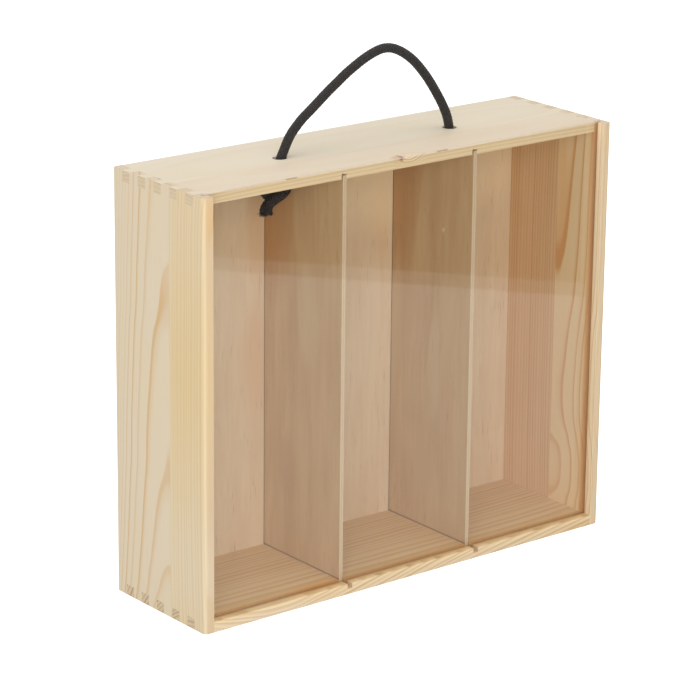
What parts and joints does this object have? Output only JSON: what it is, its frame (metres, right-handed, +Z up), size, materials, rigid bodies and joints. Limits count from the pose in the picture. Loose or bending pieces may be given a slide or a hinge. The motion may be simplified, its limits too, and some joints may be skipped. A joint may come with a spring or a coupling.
{
  "type": "wooden beer carrier",
  "caption": "Upright pine bottle carrier with finger-jointed corners, plywood dividers between the bottle bays, a clear lid that slides up in grooves, and a knotted rope handle.",
  "frame": {"origin": "on the floor, in the middle of the box's underside", "axes": "+X to the right along the box's width, +Y from the lid to the back panel, +Z up"},
  "size_m": [0.35, 0.102, 0.3632],
  "materials": {
    "pine": "sanded, untreated",
    "plywood": "sanded veneer, untreated",
    "clear_acrylic": "clear, polished",
    "black_braid": "braided cord, matt"
  },
  "bodies": {
    "box": {"left_side_front_stave": "pine", "left_side_rear_stave": "pine", "right_side_front_stave": "pine", "right_side_rear_stave": "pine", "top_front_stave": "pine", "top_rear_stave": "pine", "base_board": "pine", "back_panel": "plywood", "left_divider": "plywood", "right_divider": "plywood", "handle_rope": "black_braid", "left_knot": "black_braid", "right_knot": "black_braid"},
    "lid": {"sliding_lid": "clear_acrylic"}
  },
  "joints": [
    {"name": "lid_slide", "type": "slide", "parent": "box", "child": "lid", "axis": [0, 0, 1], "range_m": [0, 0.2925]}
  ]
}
